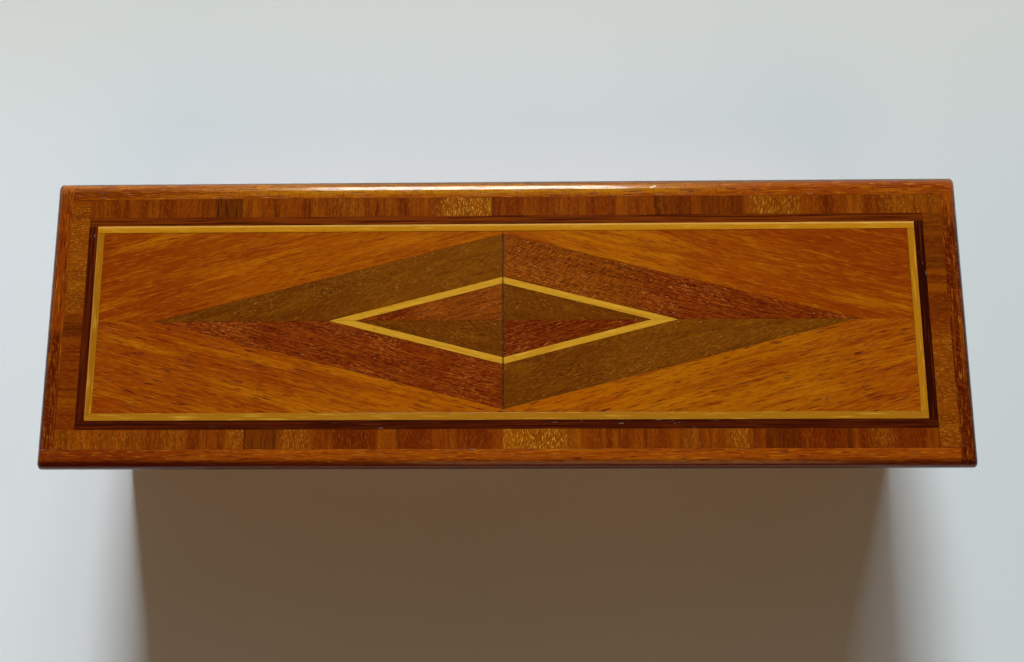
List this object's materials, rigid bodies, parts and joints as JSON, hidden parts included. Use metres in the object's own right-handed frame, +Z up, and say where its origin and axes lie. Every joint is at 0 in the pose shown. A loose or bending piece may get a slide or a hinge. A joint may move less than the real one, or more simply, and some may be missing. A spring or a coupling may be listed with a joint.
{
  "type": "pen box",
  "caption": "Long, low wooden box for pens with a veneered, overhanging lid: nested lozenges inside strings and crossbanding, on brass butt hinges.",
  "frame": {"origin": "on the ground plane under the middle of the closed box", "axes": "+X along the box's length to the right, +Y from the front to the hinges at the back, +Z up"},
  "size_m": [0.23, 0.073, 0.044],
  "materials": {
    "mahogany": "gloss varnish, red-brown, straight grain",
    "variegated": "gloss varnish, cross grain in brown and gold",
    "rosewood": "gloss varnish, nearly black brown",
    "boxwood": "gloss varnish, yellow, fine and plain",
    "padauk": "gloss varnish, orange-brown with dark pore lines",
    "red_veneer": "gloss varnish, red-brown with dark pore lines",
    "olive_veneer": "gloss varnish, olive-brown with dark pore lines",
    "core_wood": "plain unvarnished light wood",
    "felt": "short dark red nap",
    "brass": "plain drawn brass, slightly dulled"
  },
  "bodies": {
    "box": {"front_wall": "mahogany", "right_wall": "mahogany", "back_wall": "mahogany", "left_wall": "mahogany", "bottom_panel": "core_wood", "base_lining": "felt", "hinge_left_box_leaf": "brass", "hinge_left_box_screw_1": "brass", "hinge_left_box_screw_2": "brass", "hinge_left_pin": "brass", "hinge_right_box_leaf": "brass", "hinge_right_box_screw_1": "brass", "hinge_right_box_screw_2": "brass", "hinge_right_pin": "brass"},
    "lid": {"lid_panel": "core_wood", "balance_veneer": "mahogany", "lipping_front": "mahogany", "lipping_left": "mahogany", "lipping_back": "mahogany", "lipping_right": "mahogany", "crossband_left": "variegated", "crossband_right": "variegated", "crossband_front_1": "variegated", "crossband_front_2": "variegated", "crossband_front_3": "variegated", "crossband_front_4": "variegated", "crossband_back_1": "variegated", "crossband_back_2": "variegated", "crossband_back_3": "variegated", "crossband_back_4": "variegated", "dark_string_front": "rosewood", "dark_string_right": "rosewood", "dark_string_back": "rosewood", "dark_string_left": "rosewood", "yellow_string_front": "boxwood", "yellow_string_right": "boxwood", "yellow_string_back": "boxwood", "yellow_string_left": "boxwood", "field_front_left": "padauk", "field_front_right": "padauk", "field_back_right": "padauk", "field_back_left": "padauk", "lozenge_front_left": "red_veneer", "lozenge_front_right": "olive_veneer", "lozenge_back_right": "red_veneer", "lozenge_back_left": "olive_veneer", "diamond_string_front_left": "boxwood", "diamond_string_front_right": "boxwood", "diamond_string_back_right": "boxwood", "diamond_string_back_left": "boxwood", "inner_lozenge_front_left": "olive_veneer", "inner_lozenge_front_right": "red_veneer", "inner_lozenge_back_right": "olive_veneer", "inner_lozenge_back_left": "red_veneer", "hinge_left_lid_leaf": "brass", "hinge_left_lid_screw_1": "brass", "hinge_left_lid_screw_2": "brass", "hinge_right_lid_leaf": "brass", "hinge_right_lid_screw_1": "brass", "hinge_right_lid_screw_2": "brass"}
  },
  "joints": [
    {"name": "lid_hinge", "type": "hinge", "parent": "box", "child": "lid", "pos_m": [0, 0.0348, 0.03685], "axis": [-1, 0, 0], "range_deg": [0, 107]}
  ]
}
